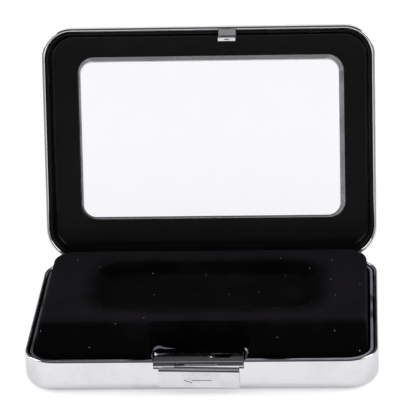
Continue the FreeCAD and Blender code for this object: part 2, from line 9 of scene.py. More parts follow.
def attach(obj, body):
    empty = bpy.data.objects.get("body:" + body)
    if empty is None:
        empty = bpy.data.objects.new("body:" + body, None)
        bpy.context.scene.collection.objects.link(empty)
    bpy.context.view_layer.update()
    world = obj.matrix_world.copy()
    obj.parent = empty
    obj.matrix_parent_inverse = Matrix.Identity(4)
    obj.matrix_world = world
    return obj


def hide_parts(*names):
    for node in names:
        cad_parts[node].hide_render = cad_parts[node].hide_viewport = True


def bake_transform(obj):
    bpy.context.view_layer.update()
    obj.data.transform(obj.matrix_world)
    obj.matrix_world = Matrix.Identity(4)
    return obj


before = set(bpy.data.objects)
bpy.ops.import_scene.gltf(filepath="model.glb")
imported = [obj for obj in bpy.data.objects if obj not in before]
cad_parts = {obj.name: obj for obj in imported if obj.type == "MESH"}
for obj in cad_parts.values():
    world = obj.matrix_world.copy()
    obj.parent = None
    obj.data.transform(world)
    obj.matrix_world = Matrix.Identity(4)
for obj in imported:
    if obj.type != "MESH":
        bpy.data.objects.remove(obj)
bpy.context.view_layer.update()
print("frame loaded:", sorted(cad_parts))

# Sizes of the case in millimetres, shared by its pieces. The lid's pieces are drawn shut about the
# hinge axis and turned open together.
case = {
    "width": 92.0,
    "depth": 64.5,
    "corner": 8.5,
    "rim": 8.9,  # height of the tray's rim
    "sheet": 0.5,  # steel
    "hemWidth": 0.95,
    "hemHeight": 1.4,
    "hemFoot": 0.12,  # radius at the end of the hem's inner leg
    "hingeOffset": 0.2,  # hinge axis behind the back wall
    "openAngle": 103.3,  # degrees
}
mm = 0.001  # metres
front = -case["depth"] / 2
back = case["depth"] / 2
lidMiddle = -case["hingeOffset"] - case["depth"] / 2
lidFront = -case["hingeOffset"] - case["depth"]


def pick(values, names):
    return [values[name] for name in names.split()]


def circle(start, end, count):
    # directions from one angle to another, in degrees
    turn = np.radians(np.linspace(start, end, count))
    return np.column_stack([np.cos(turn), np.sin(turn)])


def arc(centre, radius, start, end, count=9):
    return centre + radius * circle(start, end, count)


def supported(profile, margin=0.06):
    # more points just inside both ends of each long run, which keep smooth shading flat along it
    steps = np.linalg.norm(np.diff(profile, axis=0), axis=1)
    along = np.concatenate([[0], np.cumsum(steps)])
    long = steps > 5 * margin
    places = np.concatenate([along, along[:-1][long] + margin, along[1:][long] - margin])
    places = np.unique(places.round(6))
    return np.column_stack([np.interp(places, along, profile[:, k]) for k in (0, 1)])


def roundedPath(width, depth, corner, frontStops=(), backStops=(), perCorner=14, spacing=3.0):
    # a rounded rectangle as feet and outward normals: foot + (corner - inset) * normal is the outline
    # moved in by inset. Two columns stand close together at each stop, where a notch begins.
    halfX, halfY = width / 2 - corner, depth / 2 - corner
    pinch, margin = 0.012, 0.12

    def along(half, stops=()):
        cuts = [stop + step for stop in stops for step in (-pinch, pinch)]
        even = np.linspace(-half, half, int(2 * half / spacing) + 2)
        return np.unique(np.concatenate([even, [-half + margin, half - margin], cuts]))

    def side(places, axis, sign):
        normal = np.zeros((len(places), 2))
        normal[:, 1 - axis] = sign
        feet = normal * [halfX, halfY]
        feet[:, axis] = places
        return feet, normal

    def cornerArc(signX, signY, start):
        normal = circle(start, start + 90, perCorner + 1)[1:-1]
        return np.tile([signX * halfX, signY * halfY], (len(normal), 1)), normal

    runs = [side(along(halfY), 1, 1), cornerArc(1, 1, 0),
            side(along(halfX, backStops)[::-1], 0, 1), cornerArc(-1, 1, 90),
            side(along(halfY)[::-1], 1, -1), cornerArc(-1, -1, 180),
            side(along(halfX, frontStops), 0, -1), cornerArc(1, -1, 270)]
    return np.vstack([run[0] for run in runs]), np.vstack([run[1] for run in runs])


def casePath(*stops, **options):
    return roundedPath(case["width"], case["depth"], case["corner"], *stops, **options)


def notched(path, side, span):
    # the columns that stand inside a notch of the front, where side is -1, or of the back
    feet, normals = path
    return (normals[:, 1] == side) & (feet[:, 0] > span[0]) & (feet[:, 0] < span[1])


def sweep(path, profile, shift=0.0):
    # a profile of (inset, height) carried round the case: a ring for each of its points
    feet, normals = path
    flat = feet + normals * (case["corner"] - profile[:, 0])[:, None, None] + [0, shift]
    return np.dstack([flat, np.broadcast_to(profile[:, 1][:, None, None], flat.shape[:2] + (1,))])


def openingRings(path, opening, edge):
    # the lid's columns drawn in to its opening: a ring for each (offset, height) of the opening's edge
    feet, normals = path
    scale = [(opening[key] / 2 - opening["corner"]) / (case[key] / 2 - case["corner"])
             for key in ("width", "depth")]
    centre = [opening["side"], opening["shift"] + lidMiddle]
    rings = []
    for offset, height in edge:
        flat = feet * scale + normals * (opening["corner"] + offset) + centre
        rings.append(np.column_stack([flat, np.full(len(flat), height)]))
    return np.stack(rings)


def gridQuads(rows, columns, closeRows=False, closeColumns=False):
    index = np.arange(rows * columns).reshape(rows, columns)
    if closeColumns:
        index = np.hstack([index, index[:, :1]])
    if closeRows:
        index = np.vstack([index, index[:1]])
    return np.stack([index[:-1, :-1], index[:-1, 1:], index[1:, 1:], index[1:, :-1]], -1).reshape(-1, 4)


def shellPart(rings, closeRows=False):
    # rings of points as one closed skin: joined last to first, or capped at both ends
    rows, columns = rings.shape[:2]
    faces = gridQuads(rows, columns, closeRows, True).tolist()
    if not closeRows:
        faces.append(list(range(columns))[::-1])
        faces.append(list(range((rows - 1) * columns, rows * columns)))
    return rings.reshape(-1, 3), faces


def prismPart(profile, low, high, axis=0):
    # a closed outline pulled along one axis from low to high
    count = len(profile)
    ends = [np.insert(profile, axis, place, axis=1) for place in (low, high)]
    faces = gridQuads(2, count, False, True).tolist()
    return np.vstack(ends), faces + [list(range(count))[::-1], list(range(count, 2 * count))]


def boxPart(low, high):
    outline = np.array([(low[1], low[2]), (high[1], low[2]), (high[1], high[2]), (low[1], high[2])])
    return prismPart(outline, low[0], high[0])


def tubePart(centres, radii, acrossA, acrossB, sides):
    # circles of the given radii round a line of centres; acrossA and acrossB span each circle
    turn = np.linspace(0, 2 * np.pi, sides, endpoint=False)
    rings = (centres[:, None] + radii[:, None, None] * (np.cos(turn)[None, :, None] * acrossA[:, None]
                                                      + np.sin(turn)[None, :, None] * acrossB[:, None]))
    return shellPart(rings)


def rodPart(places, radii, centre, sides=24):
    # a turned piece along X: radius at each place
    centres = np.array([(place, *centre) for place in places])
    acrossA, acrossB = (np.tile(axis, (len(places), 1)) for axis in np.eye(3)[1:])
    return tubePart(centres, np.array(radii), acrossA, acrossB, sides)


def turnOpen(points):
    # from the shut lid, drawn about the hinge axis, to where it stands open
    turn = math.radians(-case["openAngle"])
    x, y, z = points.T
    return np.column_stack([x, y * math.cos(turn) - z * math.sin(turn) + back + case["hingeOffset"],
                            y * math.sin(turn) + z * math.cos(turn) + case["rim"]])


def addObject(name, data):
    added = bpy.data.objects.new(name, data)
    bpy.context.scene.collection.objects.link(added)
    return added


def addPiece(name, parts, opened=False, sharp=35, attributes=None):
    points, faces, start = [], [], 0
    for part in parts:
        points.append(part[0])
        faces += [[index + start for index in face] for face in part[1]]
        start += len(part[0])
    points = turnOpen(np.vstack(points)) if opened else np.vstack(points)
    mesh = bpy.data.meshes.new(name)
    mesh.from_pydata((points * mm).tolist(), [], faces)
    for label, values in (attributes or {}).items():
        mesh.attributes.new(label, "FLOAT", "POINT").data.foreach_set("value", values.astype(np.float32))
    work = bmesh.new()
    work.from_mesh(mesh)
    bmesh.ops.remove_doubles(work, verts=work.verts, dist=1e-7)
    bmesh.ops.dissolve_degenerate(work, edges=work.edges, dist=1e-7)
    bmesh.ops.recalc_face_normals(work, faces=work.faces)
    work.to_mesh(mesh)
    work.free()
    piece = addObject(name, mesh)
    smooth(piece, sharp)
    return piece


def smooth(piece, sharp):
    piece.data.shade_smooth()
    piece.data.set_sharp_from_angle(angle=math.radians(sharp))


def modify(piece, kind, **settings):
    # what the modifier makes becomes the piece's own mesh
    step = piece.modifiers.new(kind, kind)
    for name, value in settings.items():
        setattr(step, name, value)
    bpy.context.view_layer.update()
    graph = bpy.context.evaluated_depsgraph_get()
    mesh = bpy.data.meshes.new_from_object(piece.evaluated_get(graph))
    piece.modifiers.clear()
    piece.data = mesh


def carve(piece, cuts):
    # takes closed parts out of a piece
    for count, cut in enumerate(cuts):
        tool = addPiece("%s.cut%d" % (piece.name, count), [cut])
        modify(piece, "BOOLEAN", object=tool, solver="EXACT")
        bpy.data.objects.remove(tool)


def softEdges(piece, width, limit=40, sharp=35):
    # bevelled edges, with large faces keeping their own direction in the shading
    modify(piece, "BEVEL", width=width * mm, segments=2, limit_method="ANGLE",
           angle_limit=math.radians(limit), use_clamp_overlap=True)
    smooth(piece, sharp)
    modify(piece, "WEIGHTED_NORMAL", keep_sharp=True, weight=100)


def finishPiece(piece, body, slot, replaced=None, material=None, stretched=None):
    piece.data.materials.clear()
    piece.data.materials.append(materials[material or slot])
    if stretched:
        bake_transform(piece)
    else:
        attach(piece, body)
    if replaced:
        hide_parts(replaced)
    print("made", piece.name, len(piece.data.polygons), "faces")


def linearColor(code):
    srgb = np.array([int(code[k:k + 2], 16) for k in (1, 3, 5)]) / 255
    linear = np.where(srgb <= 0.04045, srgb / 12.92, ((srgb + 0.055) / 1.055) ** 2.4)
    return (*linear.tolist(), 1.0)


def feed(socket, value):
    # joins another node's output to the socket, or sets a colour code or a plain value
    if isinstance(value, bpy.types.NodeSocket):
        socket.id_data.links.new(value, socket)
    else:
        socket.default_value = linearColor(value) if isinstance(value, str) else value


def addNode(tree, kind, inputs=None, **settings):
    node = tree.nodes.new(kind)
    for name, value in settings.items():
        setattr(node, name, value)
    for name, value in (inputs or {}).items():
        feed(node.inputs[name], value)
    return node.outputs


def newMaterial(name, **values):
    # a principled shader with its fixed values, and the place that patterns are drawn by
    material = bpy.data.materials.new(name)
    material.use_nodes = True
    for key, value in values.items():
        feed(material.node_tree.nodes["Principled BSDF"].inputs[key.replace("_", " ")], value)
    return material, addNode(material.node_tree, "ShaderNodeTexCoord")["Object"]


def patches(place, millimetres, detail=2.0, roughness=0.5):
    # soft noise whose blotches are about this wide
    return addNode(place.id_data, "ShaderNodeTexNoise",
                   {"Scale": 1000.0 / millimetres, "Detail": detail, "Roughness": roughness,
                    "Vector": place})["Fac"]


def spread(source, fromLow, fromHigh, toLow=0.0, toHigh=1.0):
    return addNode(source.id_data, "ShaderNodeMapRange",
                   {"Value": source, "From Min": fromLow, "From Max": fromHigh,
                    "To Min": toLow, "To Max": toHigh})["Result"]


def blend(factor, first, second, kind="RGBA"):
    # colours from first to second, or levels where kind is FLOAT
    start, result = (6, 2) if kind == "RGBA" else (2, 0)
    return addNode(factor.id_data, "ShaderNodeMix", {0: factor, start: first, start + 1: second},
                   data_type=kind)[result]


def combine(operation, first, second, clamped=False):
    return addNode(first.id_data, "ShaderNodeMath", {0: first, 1: second}, operation=operation,
                   use_clamp=clamped)[0]


def paint(material, color, roughness=None, relief=()):
    # patterns go into the shader; relief is bumps one after another: (source, depth in millimetres)
    inputs = material.node_tree.nodes["Principled BSDF"].inputs
    feed(inputs["Base Color"], color)
    if roughness:
        feed(inputs["Roughness"], roughness)
    normal = {}
    for source, depth in relief:
        bump = addNode(material.node_tree, "ShaderNodeBump",
                       {"Strength": 1.0, "Distance": depth * mm, "Height": source, **normal})
        normal = {"Normal": bump["Normal"]}
        feed(inputs["Normal"], bump["Normal"])
    return material


def platedSteel(name, color, dull, low, high, wave):
    # Chrome plate on pressed steel: near mirror, with faint handling marks and the slight waviness of a
    # drawn sheet, which bend the reflections a little.
    material, place = newMaterial(name, Metallic=1.0)
    marks, fine = patches(place, 7.0, 6.0, 0.62), patches(place, 0.9, 3.0)
    return paint(material, blend(spread(marks, 0.45, 0.75), color, dull),
                 spread(combine("MULTIPLY", marks, fine), 0.2, 0.42, low, high),
                 [(patches(place, 16.0, 1.0), wave), (patches(place, 1.6), wave / 60)])


def stripSteel(name, color, dull, low, high):
    # Zinc plated strip: greyer than chrome, with rolling lines along the strip that streak the light.
    material, place = newMaterial(name, Metallic=1.0)
    long = addNode(material.node_tree, "ShaderNodeMapping", {"Scale": (0.06, 1.0, 1.0), "Vector": place})
    lines = patches(long[0], 0.25, 3.0)
    return paint(material, blend(lines, color, dull), spread(lines, 0.3, 0.7, low, high), [(lines, 0.004)])


def formedBlack():
    # Vacuum formed black polystyrene: satin, with a fine grain and soft ripples from forming.
    material, place = newMaterial("vacuum formed black polystyrene", Specular_IOR_Level=0.22)
    cloud = patches(place, 9.0, 4.0)
    grain = patches(place, 0.35, 2.0)  # drawn coarser than real, to show
    return paint(material, blend(cloud, "#050506", "#0C0C0E"), spread(cloud, 0.3, 0.7, 0.22, 0.34),
                 [(patches(place, 12.0, 1.0), 0.12), (grain, 0.006)])


rawEdge = {
    "height": (0.00846, 0.00849),  # metres, where the face turns into the cut edge
    "start": (-0.035, 0.0),  # metres along X, over which the edge turns from its darker left end to full chalky grey
    # the share of chalky grey that the edge keeps at its left end
    "leftLevel": 0.3,
}


def rawEdgeSheet():
    # Black PVC sheet cut with a blade: the face is satin black, the cut edge on top a chalky lavender
    # grey, which is darker towards the left.
    material, place = newMaterial("blade cut black pvc sheet")
    parts = addNode(material.node_tree, "ShaderNodeSeparateXYZ", {0: place})
    edge = combine("MULTIPLY", spread(parts["Z"], *rawEdge["height"]),
                   spread(parts["X"], *rawEdge["start"], rawEdge["leftLevel"], 1.0))
    chalk = blend(patches(place, 1.2, 4.0), "#7C7C92", "#A3A3B8")
    return paint(material, blend(edge, "#0A0A0D", chalk), spread(edge, 0.0, 1.0, 0.45, 0.8),
                 [(patches(place, 0.3), 0.02)])


def filmShaving():
    # A curl of protective film: thin, milky and half clear.
    material, place = newMaterial("clear film shaving", Transmission_Weight=0.35, IOR=1.45)
    cloud = patches(place, 0.8)
    return paint(material, blend(cloud, "#A2A2B2", "#787890"), spread(cloud, 0.3, 0.7, 0.15, 0.35))


flockTones = {
    "deep": "#030303",  # painted shade: the pile's colour in the well, on the slope and in the notch
    "brushed": "#161418",  # painted sheen: the pile's colour on the platform round the well, where it catches the light
    "fibre": 0.22,  # mm, drawn coarser than the real 0.03 mm fibres, to show
    "speckCell": 7.0,  # mm between specks of lint
    "speckSize": 0.16,  # mm
    "speckBar": 0.72,  # share of the cells that stay empty
    "lint": "#C9C9D2",
}


def flockPile():
    # Electrostatic flock: very dark, no gloss, a faint sheen at low angles, patches where the pile lies
    # differently and lint, with painted sheen on the platform and painted shade in the well, on the slope and
    # in the notch.
    deep, brushed, fibre, cell, size, empty, tint = pick(
        flockTones, "deep brushed fibre speckCell speckSize speckBar lint")
    material, place = newMaterial("electrostatic black flock", Roughness=1.0, Specular_IOR_Level=0.03,
                                  Sheen_Weight=0.025, Sheen_Roughness=0.45, Sheen_Tint="#C6C2CC")
    tree = material.node_tree
    # painted sheen where this is 1 and painted shade where it is 0, from the insert; random patches of pile
    # and fine fibres are added to it
    paintedSheen = addNode(tree, "ShaderNodeAttribute", attribute_name="paintedSheen")["Fac"]
    brush = spread(patches(place, 11.0, 5.0), 0.35, 0.65, -0.25, 0.25)
    pile = spread(patches(place, fibre, 2.0), 0.3, 0.7, -0.3, 0.3)
    paintedSheen = combine("ADD", combine("ADD", paintedSheen, brush), pile, clamped=True)
    cells = addNode(tree, "ShaderNodeTexVoronoi", {"Scale": 1000.0 / cell, "Vector": place},
                    voronoi_dimensions="2D")
    near = spread(cells["Distance"], 0.4 * size / cell, 0.8 * size / cell, 1.0, 0.0)
    red = addNode(tree, "ShaderNodeSeparateColor", {0: cells["Color"]})[0]
    lint = combine("MULTIPLY", near, combine("GREATER_THAN", red, empty))
    # base colour from painted shade to painted sheen, with lint over it
    return paint(material, blend(lint, blend(paintedSheen, deep, brushed), tint),
                 relief=[(patches(place, fibre, 3.0), 0.05)])


def clearAcrylic():
    # Cast acrylic sheet: water clear, with the faintest cool tint and hairline wiping marks.
    material, place = newMaterial("cast clear acrylic", Transmission_Weight=1.0, IOR=1.49)
    haze = patches(place, 5.0, 5.0)
    return paint(material, blend(haze, "#FBFAFD", "#F8F7FB"), spread(haze, 0.5, 0.8, 0.0, 0.03))


materials = {
    "chrome_shell": platedSteel("polished chrome on drawn steel", "#E9E9EC", "#DEDEE2", 0.05, 0.12, 0.04),
    "chrome_latch": platedSteel("polished chrome on stamped steel", "#E2E2E6", "#CFCFD4", 0.08, 0.2, 0.02),
    "hinge_steel": stripSteel("zinc plated steel strip", "#C9C9CC", "#A9A9AE", 0.22, 0.38),
    "spring_steel": stripSteel("drawn spring wire", "#B4B4B8", "#8F8F95", 0.25, 0.4),
    "liner_black": formedBlack(),
    "pvc_sheet": rawEdgeSheet(),
    "black_flock": flockPile(),
    "acrylic": clearAcrylic(),
    "film": filmShaving(),
}
print("materials ready")


trayShape = {
    "bend": 2.5,  # outer radius at the base
    "flat": 4.0,  # how far in the base follows the outline
    "latchCut": (-12.0, 11.4, 2.2),  # from, to, depth below the rim
    "hingeCut": (-28.3, 28.3, 1.45),
}


def hemProfile(rim, up):
    # rolled hem at a rim: outside wall, round top and inner leg. up is 1 where the rim is on top.
    width, radius, bend = case["hemWidth"], case["hemWidth"] / 2, case["hemFoot"]
    leg = rim - up * case["hemHeight"]
    return np.vstack([arc((radius, rim - up * radius), radius, 180, 180 - up * 180, 13),
                      arc((width - bend, leg + up * bend), bend, 0, -up * 90, 4), [(case["sheet"], leg)]])


def makeTrayShell():
    rim, sheet, bend, flat = pick({**case, **trayShape}, "rim sheet bend flat")
    centre, end = (bend, bend), bend + flat
    profile = np.vstack([[(end, 0)], arc(centre, bend, 270, 180), hemProfile(rim, 1),
                         arc(centre, bend - sheet, 180, 270), [(end, sheet)]])
    path = casePath(trayShape["latchCut"][:2], trayShape["hingeCut"][:2])
    rings = sweep(path, supported(profile))
    for key, side in (("latchCut", -1), ("hingeCut", 1)):
        inside = notched(path, side, trayShape[key])
        rings[:, inside, 2] = np.minimum(rings[:, inside, 2], rim - trayShape[key][2])
    finishPiece(addPiece("trayShell", [shellPart(rings)]), "tray", "chrome_shell", "tray_shell")


lidShape = {
    "height": 7.0,
    "rimGap": 0.05,
    "bend": 2.5,
    "window": {"width": 71.7, "depth": 43.5, "corner": 3.5, "side": 0.0, "shift": -0.4},
    "windowLip": 0.12,  # rounding of the window's edge
    "windowBand": 0.4,  # flat beside it
    "hingeCut": (-28.3, 28.3, 1.45),
    "catchCut": (2.95, 7.95),  # where the hem makes room for the catch
}


def makeLidShell():
    rim, top, sheet, bend, lip, band = pick({**case, **lidShape},
                                            "rimGap height sheet bend windowLip windowBand")
    under, centre, end = top - sheet, (bend, top - bend), bend + 0.5
    profile = np.vstack([[(end, top)], arc(centre, bend, 90, 180), hemProfile(rim, -1),
                         arc(centre, bend - sheet, 180, 90), [(end, under)]])
    path = casePath(lidShape["catchCut"], lidShape["hingeCut"][:2])
    rings = sweep(path, supported(profile), lidMiddle)
    inside = notched(path, 1, lidShape["hingeCut"])
    rings[:, inside, 2] = np.maximum(rings[:, inside, 2], rim + lidShape["hingeCut"][2])
    inside = notched(path, -1, lidShape["catchCut"])
    cut = rings[:, inside]
    cut[..., 1] = np.where(cut[..., 2] < rim + case["hemHeight"] + 0.01,
                           np.minimum(cut[..., 1], lidFront + sheet), cut[..., 1])
    rings[:, inside] = cut
    mid = 0.3 * lip
    edge = [(band, under), (lip, under), (mid, under + mid), (0, under + lip),
            (0, top - lip), (mid, top - mid), (lip, top), (band, top)]
    rings = np.vstack([rings, openingRings(path, lidShape["window"], edge)])
    finishPiece(addPiece("lidShell", [shellPart(rings, True)], opened=True),
                "lid", "chrome_shell", "lid_shell")


linerShape = {
    "inset": 1.05,  # from the lid's outside to the flange's edge
    "flange": 0.75,
    "drop": 0.65,  # flange above the lid's rim
    "lean": 0.7,
    "sheet": 0.6,
    "under": 5.5,  # height of the pane's underside, where the face lies
    "rimRound": 0.3,
    "faceRound": 0.8,
    "opening": {"width": 73.8, "depth": 45.9, "corner": 4.6, "side": 0.35, "shift": -0.8},
}


def makeLidLiner():
    edge, low, sheet, under, flange, lean, rimRound, faceRound = pick(
        linerShape, "inset drop sheet under flange lean rimRound faceRound")
    wall, face = edge + flange, under - sheet
    foot = wall + lean
    lean = math.degrees(math.atan2(face - low, lean))
    # bends: convex at the flange, hollow at the face, both tangent to the leaning wall
    rimBack, faceBack = (radius * math.tan(math.radians(lean) / 2) for radius in (rimRound, faceRound))
    seen = np.vstack([[(edge, low + 0.1), (edge + 0.06, low)],
                      arc((wall - rimBack, low + rimRound), rimRound, -90, lean - 90, 7),
                      arc((foot + faceBack, face - faceRound), faceRound, lean + 90, 90, 9)])
    hidden = np.array([(foot + 1.4, under), (foot - sheet + 0.5, under), (foot - sheet, under - 0.5),
                       (wall - sheet, low + sheet), (edge, low + sheet)])
    path = casePath()
    first, last = (sweep(path, supported(side), lidMiddle) for side in (seen, hidden))
    band, bevel = 0.5, 0.05
    ends = [(band, face), (bevel, face), (0, face + bevel), (0, under - bevel), (bevel, under), (band, under)]
    rings = np.vstack([first, openingRings(path, linerShape["opening"], ends), last])
    finishPiece(addPiece("lidLiner", [shellPart(rings, True)], opened=True),
                "lid", "liner_black", "lid_liner")


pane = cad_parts["window_pane"]  # kept, with a better material
pane.data.materials.clear()
pane.data.materials.append(materials["acrylic"])


trayLinerShape = {
    "inset": 1.4,
    "sheet": 0.7,
    "low": 0.5,
    "bevel": 0.6,
    "flat": 4.0,  # how far in the base follows the outline
    "top": 8.55,
    "edge": 0.05,
    "waver": 0.05,  # how uneven the blade cut is
    "latchCut": (-12.4, 11.8, 5.3),  # from, to, height left
}


def makeTrayLiner():
    outer, sheet, low, top, bevel, edge, flat, waver, cut = pick(
        trayLinerShape, "inset sheet low top bevel edge flat waver latchCut")
    inner, end = outer + sheet, outer + flat
    profile = np.array([(end, low), (outer + bevel, low), (outer, low + bevel), (outer, top - edge),
                        (outer + edge, top), (inner - edge, top), (inner, top - edge),
                        (inner, low + sheet), (end, low + sheet)])
    path = casePath(cut[:2], spacing=1.5)
    rings = sweep(path, supported(profile))
    # waver: two slow sines along the outline, on the points near the top
    along = np.cumsum(np.linalg.norm(np.diff(rings[3], axis=0, prepend=rings[3][:1]), axis=1))
    waver = waver * (0.6 * np.sin(along / 5.3) + 0.4 * np.sin(along / 1.9 + 1) - 1)
    rings[..., 2] += np.where(rings[..., 2] > top - 0.2, waver[None], 0)
    inside = notched(path, -1, cut)
    rings[:, inside, 2] = np.minimum(rings[:, inside, 2], cut[2])
    finishPiece(addPiece("trayLiner", [shellPart(rings)]), "tray", "pvc_sheet", "tray_liner")


# curls of film left at the liner's cut corners beside the latch: points in mm, y from the front
filmCurls = {
    "curls": [
        [(-12.2, 1.9, 8.5), (-12.6, 4.0, 8.9), (-12.2, 6.6, 9.3), (-10.9, 7.6, 9.4), (-9.2, 7.3, 9.1),
         (-6.8, 7.5, 8.9)],
        [(12.0, 1.9, 8.5), (11.8, 3.6, 9.0), (11.9, 5.4, 9.3), (12.8, 6.9, 9.0)],
        [(11.9, 2.0, 8.6), (12.3, 4.4, 9.4), (11.3, 6.3, 9.6)],
    ],
    "steps": 40,
    "soften": 11,  # steps that the line is evened over, an odd number
    "width": 0.36,
    "thick": 0.02,
    "twist": (0.4, 2.2),  # radians at both ends; each next curl ends a radian further
}


def makeFilmCurls():
    # each curl is a ribbon along a smooth line, twisted about it and narrow at both ends
    curls, steps, soften, width, thick, twist = pick(filmCurls, "curls steps soften width thick twist")
    pad, kernel = soften // 2, np.hanning(soften) / np.hanning(soften).sum()
    thin = np.array([0.0, 0.0, thick])
    parts = []
    for count, points in enumerate(curls):
        knots = np.array(points) + [0, front, 0]
        places = np.linspace(0, len(knots) - 1, steps)
        line = np.column_stack([np.interp(places, range(len(knots)), knots[:, k]) for k in range(3)])
        padded = np.pad(line, ((pad, pad), (0, 0)), mode="edge")
        line = np.column_stack([np.convolve(padded[:, k], kernel, "valid") for k in range(3)])
        turn = np.linspace(twist[0], twist[1] + count, steps)
        across = np.column_stack([np.cos(turn) * 0.6, np.sin(turn) * 0.5, np.sin(turn + 0.5)])
        side = across * width * np.sin(np.linspace(0.25, np.pi - 0.1, steps))[:, None]
        corners = [line - side, line + side, line + side + thin, line - side + thin]
        parts.append(shellPart(np.stack(corners, 1)))
    finishPiece(addPiece("linerFilmCurls", parts), "tray", "pvc_sheet", material="film")


insertShape = {
    "width": 86.1, "depth": 58.6, "corner": 5.55,  # of the platform; the foot is wider by the lean
    "lean": 0.6,
    "foot": 1.2,
    "top": 13.3,
    "slopeStart": (-29.9, 8.6),  # y and height where the slope starts
    "slopeRise": 4.7 / 12.2,
    "browSoft": 0.5,
    "shoulder": 1.4,
    "wellWidth": 59.0, "wellDepth": 29.4, "wellCorner": 7.0, "wellY": 5.8,
    "wellSink": 2.4, "wellRun": 3.6,  # depth, and width of its soft side
    "notchSpan": (-14.2, 12.8), "notchBack": -17.3, "notchCorner": 2.2, "notchFloor": 4.6,
    # notchSheen: how much of the painted sheen the notch keeps
    "notchWall": 0.5, "notchSheen": 0.25,
    "wellSheenFade": 6.0, "browSheenFade": 2.6,  # how softly the painted sheen fades into painted shade at the well and the brow
    "undulation": 0.05,
    "step": 0.55,  # of the grid
}


def boxDistance(x, y, centreX, centreY, halfX, halfY, corner):
    # distance to a rounded rectangle, below zero inside it
    offX = np.abs(x - centreX) - halfX + corner
    offY = np.abs(y - centreY) - halfY + corner
    outside = np.hypot(np.maximum(offX, 0), np.maximum(offY, 0))
    return outside + np.minimum(np.maximum(offX, offY), 0) - corner


def easeStep(value):
    value = np.clip(value, 0, 1)
    return value * value * (3 - 2 * value)


def insertHeight(x, y):
    # the platform and the slope joined by a soft brow, less the shoulder, the well and the notch
    shape = insertShape
    top, soft, radius, (startY, startZ), (start, end) = pick(
        shape, "top browSoft shoulder slopeStart notchSpan")
    slope = startZ + (y - startY) * shape["slopeRise"]
    lead = np.maximum(soft - np.abs(top - slope), 0) / soft
    height = np.minimum(top, slope) - lead * lead * soft / 4
    wave = np.sin(x / 6.1 + 0.4 * np.sin(y / 7.0)) * np.sin(y / 5.3 + 1.3) + 0.5 * np.sin((x + y) / 3.1)
    height = height + shape["undulation"] * (wave - 1.5) / 1.5
    edge = -boxDistance(x, y, 0, 0, shape["width"] / 2, shape["depth"] / 2, shape["corner"])
    near = np.clip(radius - edge, 0, radius)
    height = height - (radius - np.sqrt(radius ** 2 - near ** 2))
    well = boxDistance(x, y, 0, shape["wellY"], shape["wellWidth"] / 2, shape["wellDepth"] / 2,
                       shape["wellCorner"])
    height = height - shape["wellSink"] * easeStep((0.5 - well) / shape["wellRun"])
    reach = 30.0  # past the front edge
    notch = boxDistance(x, y, (start + end) / 2, shape["notchBack"] - reach, (end - start) / 2, reach,
                        shape["notchCorner"])
    cut = easeStep((0.15 - notch) / shape["notchWall"])
    # painted sheen on the platform, fading softly into painted shade towards the well and down the slope; the
    # notch keeps a little of it
    slopeShade = easeStep((top - slope + 1.5) / shape["browSheenFade"])
    paintedSheen = easeStep((well + 0.6) / shape["wellSheenFade"]) - 1.1 * slopeShade
    paintedSheen = np.clip(paintedSheen, 0, 1) * (1 - cut) + shape["notchSheen"] * cut
    return height * (1 - cut) + shape["notchFloor"] * cut, paintedSheen


def makeInsert():
    width, depth, corner, step, (left, right), notchBack, lean, low = pick(
        insertShape, "width depth corner step notchSpan notchBack lean foot")
    halfX, halfY = width / 2, depth / 2
    # the grid is closer at the notch's walls and on the shoulder
    dense = np.linspace(-0.6, 0.6, 13)
    rim = np.array([0, 0.1, 0.25, 0.45, 0.7, 1.0, 1.4])
    xs = np.concatenate([np.arange(-halfX, halfX, step), [-halfX, halfX], -halfX + rim, halfX - rim,
                         left + dense, right + dense])
    round90 = (halfY - corner) + corner * np.sin(np.radians(np.linspace(0, 90, 22)))
    ys = np.concatenate([np.arange(-halfY + corner, halfY - corner, step), round90, -round90,
                         notchBack + dense])
    xs, ys = np.unique(xs.round(4)), np.unique(ys.round(4))
    over = np.maximum(np.abs(ys) - (halfY - corner), 0)
    halfWidth = halfX - corner + np.sqrt(np.maximum(corner ** 2 - over ** 2, 0))
    inner = 20.0  # columns nearer the middle stay straight
    grow = (halfWidth[:, None] - inner) / (halfX - inner)
    x = xs + np.sign(xs) * np.maximum(np.abs(xs) - inner, 0) * (grow - 1)
    y = np.broadcast_to(ys[:, None], x.shape)
    z, paintedSheen = insertHeight(x, y)
    top = np.dstack([x, y, z]).reshape(-1, 3)
    rows, columns = x.shape
    index = np.arange(rows * columns).reshape(rows, columns)
    loop = np.concatenate([index[0], index[1:, -1], index[-1, -2::-1], index[-2:0:-1, 0]])
    edge = top[loop]
    straight = np.array([halfX, halfY]) - corner
    out = edge[:, :2] - np.clip(edge[:, :2], -straight, straight)
    out /= np.linalg.norm(out, axis=1)[:, None]
    shares = np.linspace(0, 1, 9)[1:]
    walls = [np.column_stack([edge[:, :2] + out * lean * share, edge[:, 2] + (low - edge[:, 2]) * share])
             for share in shares]
    points = np.vstack([top] + walls)
    added = rows * columns + np.arange(len(shares) * len(loop))
    levels = np.vstack([loop, added.reshape(len(shares), -1)])
    walled = levels.ravel()[gridQuads(*levels.shape, closeColumns=True)]
    faces = gridQuads(rows, columns).tolist() + walled.tolist() + [levels[-1].tolist()]
    paintedSheenPoints = np.concatenate([paintedSheen.ravel(), np.zeros(len(added))])
    piece = addPiece("displayInsert", [(points, faces)], sharp=70, attributes={"paintedSheen": paintedSheenPoints})
    finishPiece(piece, "tray", "black_flock", "display_insert")


spring = {
    "start": -11.5, "length": 5.5,
    "wire": 0.25, "radius": 0.6, "turns": 6,
    "axis": (front + 2.8, case["rim"] - 1.6),
}


def springStud(root, tip):
    # the stud with a rounded tip that the spring's end sits on
    way = 1 if tip > root else -1
    places = [root, tip - 0.1 * way, tip - 0.02 * way, tip]
    return rodPart(places, [0.35, 0.35, 0.28, 0.15], spring["axis"])


